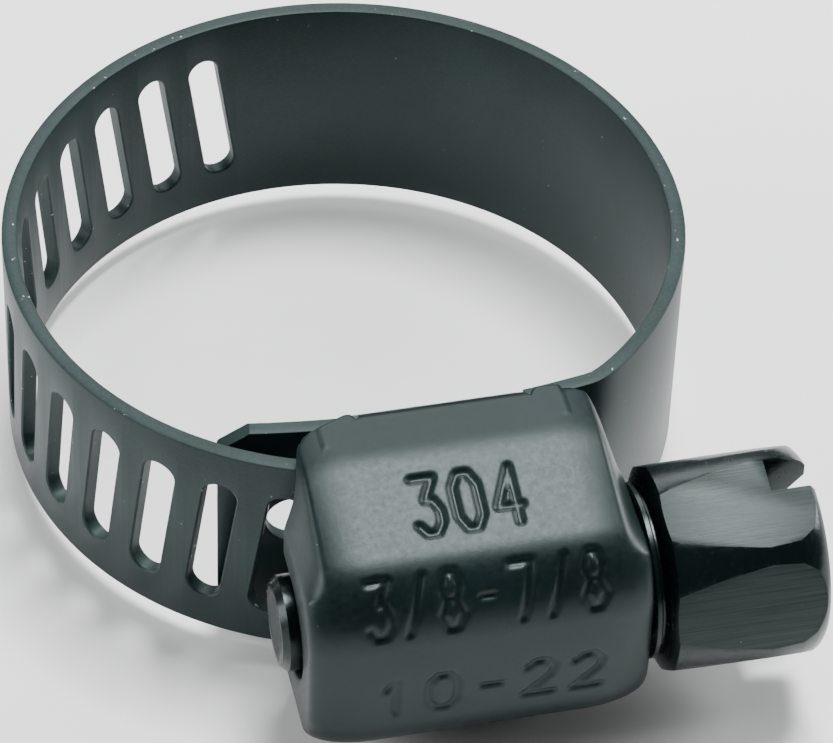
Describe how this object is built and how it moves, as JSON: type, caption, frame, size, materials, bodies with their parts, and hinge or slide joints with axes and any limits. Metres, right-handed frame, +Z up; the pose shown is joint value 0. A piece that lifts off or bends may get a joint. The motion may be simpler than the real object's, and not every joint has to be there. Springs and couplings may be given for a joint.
{
  "type": "hose clamp",
  "caption": "Worm-drive hose clamp: a slotted band ring pulled through a stamped housing by a slotted hexagon-head screw.",
  "frame": {"origin": "centre of the outline in X and Y, on the plane of the housing's lower side", "axes": "+X along the screw towards its head, +Y from the screw towards the ring, +Z up along the ring's axis"},
  "size_m": [0.0228, 0.0272, 0.0095],
  "materials": {
    "band_steel": "satin black-coated stainless strip",
    "housing_steel": "satin black-coated stamped stainless",
    "screw_steel": "black-coated turned steel with axial drawing lines on its flats"
  },
  "bodies": {
    "clamp_body": {"band": "band_steel", "housing": "housing_steel"},
    "slotted_end": {"band_tail": "band_steel"},
    "worm_screw": {"screw": "screw_steel"}
  },
  "joints": [
    {"name": "screw_turn", "type": "hinge", "parent": "clamp_body", "child": "worm_screw", "pos_m": [0.00062, -0.01017, 0.00475], "axis": [-1, 0, 0], "range_deg": [0, 1080]},
    {"name": "band_feed", "type": "hinge", "parent": "clamp_body", "child": "slotted_end", "pos_m": [0.00012, 0.00358, 0.00475], "axis": [0, 0, 1], "range_deg": [0, 31]}
  ],
  "couplings": [
    {"joint": "band_feed", "follows": "screw_turn", "ratio": 0.0284}
  ]
}
